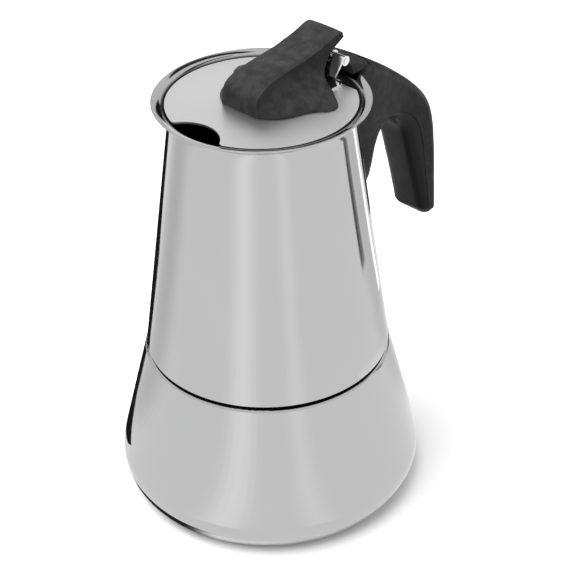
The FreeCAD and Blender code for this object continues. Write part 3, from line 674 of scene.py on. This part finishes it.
WALL_REACH = 0.9                # where the cards on the floor turn upwards, metres from the axis
WALL_TOP = 0.5
CARD_LIFT = 0.0121              # height of the lowest card above the floor
CARD_STEP = 0.0002              # each further card lies this much higher, so that none coincide
PATCH_HEIGHT = 0.016
FLOOR_CARDS = [                 # name, turn, half width, nearest distance, level, soft share
    ("grey_left", -112, 26, 0.070, 0.74, 0.9),
    ("glow_left", -22, 17, 0.070, 1.2, 1.0),
    ("glow_middle", 20, 11, 0.070, 1.09, 1.0),
    ("flag_right", 108, 4.5, 0.24, 0.01, 0.15),
    ("grey_right", 124, 24, 0.070, 0.76, 0.9),
    ("glow_right", 134, 3.5, 0.16, 1.9, 0.3),
    ("flag_right_edge", 166, 8, 0.090, 0.01, 0.15),
]
LEFT_FLAG = [                   # corners of the black card behind the pot's left side, metres
    (0.0692, -0.010), (0.0665, -0.008), (0.060, 0.060), (0.056, 0.240), (0.056, 0.500),
    (0.300, 0.420), (0.175, 0.190), (0.154, 0.135), (0.100, 0.072), (0.0815, 0.0314), (0.076, 0.0105),
]
FAR_WALLS = [-145, 145]         # turns of the dark walls low behind the pot
DARK_CEILINGS = [(122, 8), (163, 11), (-160, 6)]   # turn and half width, high behind the pot


def glow_material(name, level):
    """Plain emitting card, seen only in reflections; it fades out towards its sides."""
    material = bpy.data.materials.new(name)
    material.use_nodes = True
    tree = material.node_tree
    tree.nodes.clear()
    output = tree.nodes.new("ShaderNodeOutputMaterial")
    glow = tree.nodes.new("ShaderNodeEmission")
    glow.inputs["Color"].default_value = (1.0, 1.0, 1.0, 1.0)
    glow.inputs["Strength"].default_value = level
    clear = tree.nodes.new("ShaderNodeBsdfTransparent")
    mix = tree.nodes.new("ShaderNodeMixShader")
    fade = tree.nodes.new("ShaderNodeAttribute")
    fade.attribute_name = "cover"
    tree.links.new(fade.outputs["Fac"], mix.inputs[0])
    tree.links.new(clear.outputs[0], mix.inputs[1])
    tree.links.new(glow.outputs[0], mix.inputs[2])
    tree.links.new(mix.outputs[0], output.inputs["Surface"])
    return material


def link_card(card):
    """Put a card in the scene so that only reflections show it."""
    bpy.context.scene.collection.objects.link(card)
    card.visible_camera = False
    card.visible_diffuse = False
    card.visible_shadow = False
    card.visible_transmission = False


def studio_card(name, turn, half_width, rows, level, soft):
    """A card in the room round the pot, seen only in reflections.

    turn is its direction from the camera's side, in degrees anticlockwise from above; rows are
    (distance from the axis, height) of its edges and folds, from the pot outwards. soft is the
    share of its half width over which it fades out on each side, or 0 for a hard edge.
    """
    steps = max(8, int(half_width / 2.0))
    points = []
    cover = []
    for i in range(steps + 1):
        across = 2.0 * i / steps - 1.0
        angle = math.radians(CAMERA_SIDE + turn + across * half_width)
        fade = min(1.0, (1.0 - abs(across)) / soft) if soft else 1.0
        for reach, z in rows:
            points.append((reach * math.cos(angle), reach * math.sin(angle), z))
            cover.append(fade * fade * (3.0 - 2.0 * fade))
    faces = []
    for i in range(steps):
        for j in range(len(rows) - 1):
            a = i * len(rows) + j
            faces.append((a, a + len(rows), a + len(rows) + 1, a + 1))
    mesh = bpy.data.meshes.new(name)
    mesh.from_pydata(points, [], faces)
    mesh.attributes.new("cover", "FLOAT", "POINT").data.foreach_set("value", cover)
    mesh.materials.append(glow_material(name, level))
    link_card(bpy.data.objects.new(name, mesh))


def floor_patch(name, corners, level):
    """A flat card low over the floor; its corners are (to the left, away) as the camera sees them."""
    angle = math.radians(CAMERA_SIDE)
    points = []
    for left, away in corners:
        x = -away * math.cos(angle) + left * math.sin(angle)
        y = -away * math.sin(angle) - left * math.cos(angle)
        points.append((x, y, PATCH_HEIGHT))
    mesh = bpy.data.meshes.new(name)
    mesh.from_pydata(points, [], [tuple(range(len(points)))])
    mesh.attributes.new("cover", "FLOAT", "POINT").data.foreach_set("value", [1.0] * len(points))
    mesh.materials.append(glow_material(name, level))
    link_card(bpy.data.objects.new(name, mesh))


def floor():
    half = FLOOR_SIZE / 2.0
    mesh = bpy.data.meshes.new("floor")
    corners = [(-half, -half, 0), (half, -half, 0), (half, half, 0), (-half, half, 0)]
    mesh.from_pydata(corners, [], [(0, 1, 2, 3)])
    material, tree, shader = node_tree("floor")
    shader.inputs["Base Color"].default_value = (0.84, 0.84, 0.84, 1.0)
    shader.inputs["Roughness"].default_value = 0.9
    shader.inputs["Specular IOR Level"].default_value = 0.1
    mesh.materials.append(material)
    ground = bpy.data.objects.new("floor", mesh)
    bpy.context.scene.collection.objects.link(ground)
    ground.visible_diffuse = False


def dome():
    """Soft white room, brighter overhead than at the horizon and dark below it."""
    world = bpy.data.worlds.new("studio")
    bpy.context.scene.world = world
    world.use_nodes = True
    tree = world.node_tree
    tree.nodes.clear()
    output = tree.nodes.new("ShaderNodeOutputWorld")
    background = tree.nodes.new("ShaderNodeBackground")
    split = tree.nodes.new("ShaderNodeSeparateXYZ")
    tree.links.new(tree.nodes.new("ShaderNodeTexCoord").outputs["Generated"], split.inputs[0])
    sky = remap(tree, split.outputs[2], 0.0, 0.6, 0.75, 1.05)
    below = remap(tree, split.outputs[2], -0.12, 0.0, -0.65, 0.0)
    tree.links.new(math_node(tree, "ADD", sky, below), background.inputs["Strength"])
    tree.links.new(background.outputs[0], output.inputs["Surface"])


def soft_box(name, place_at, size, power):
    """Area light aimed at the pot, left out of reflections."""
    light = bpy.data.lights.new(name, "AREA")
    light.shape = "RECTANGLE"
    light.size, light.size_y = size
    light.energy = power
    lamp = bpy.data.objects.new(name, light)
    bpy.context.scene.collection.objects.link(lamp)
    lamp.location = place_at
    lamp.visible_glossy = False
    aim = Vector((0.0, 0.0, 0.12)) - Vector(place_at)
    lamp.rotation_euler = aim.to_track_quat("-Z", "Y").to_euler()


def around(turn, reach, z):
    """A point at that turn from the camera's side."""
    angle = math.radians(CAMERA_SIDE + turn)
    return reach * math.cos(angle), reach * math.sin(angle), z


def studio():
    floor()
    dome()
    soft_box("key", around(-80, 0.45, 1.15), (1.4, 1.2), 26.0)
    studio_card("table_glow", 0, 180, [(0.066, 0.0008), (0.93, 0.0008), (0.93, 0.4)], 0.98, 0.0)
    floor_patch("flag_left_edge", LEFT_FLAG, 0.01)
    # Dark ring card round the foot, seen only in reflections: a painted contact shadow.
    studio_card("painted_contact_shadow", -52, 30, [(0.057, 0.0012), (0.0675, 0.0012)], 0.02, 0.5)
    for number, (name, turn, half_width, near, level, soft) in enumerate(FLOOR_CARDS):
        lift = CARD_LIFT + CARD_STEP * number
        far = WALL_REACH - lift
        studio_card(name, turn, half_width, [(near, lift), (far, lift), (far, WALL_TOP)], level, soft)
    for turn in FAR_WALLS:
        studio_card(f"far_wall_{turn + 180}", turn, 22, [(0.86, 0.02), (0.86, 0.35)], 0.03, 0.3)
    for number, (turn, half_width) in enumerate(DARK_CEILINGS):
        studio_card(f"dark_ceiling_{number}", turn, half_width, [(0.62, 0.7), (0.25, 1.15)], 0.02, 0.3)


def camera():
    data = bpy.data.cameras.new("camera")
    data.lens = CAMERA_LENS
    data.sensor_width = SENSOR
    data.clip_start = 0.01
    eye = bpy.data.objects.new("camera", data)
    bpy.context.scene.collection.objects.link(eye)
    turn = Matrix.Rotation(math.radians(CAMERA_TURN), 4, "Z")
    tilt = Matrix.Rotation(math.radians(90.0 - CAMERA_DOWN), 4, "X")
    roll = Matrix.Rotation(math.radians(CAMERA_ROLL), 4, "Z")
    eye.matrix_world = Matrix.Translation(CAMERA_AT) @ turn @ tilt @ roll
    bpy.context.scene.camera = eye


moulded_pieces(finish_materials())
studio()
camera()
bpy.context.scene.view_settings.view_transform = "Standard"
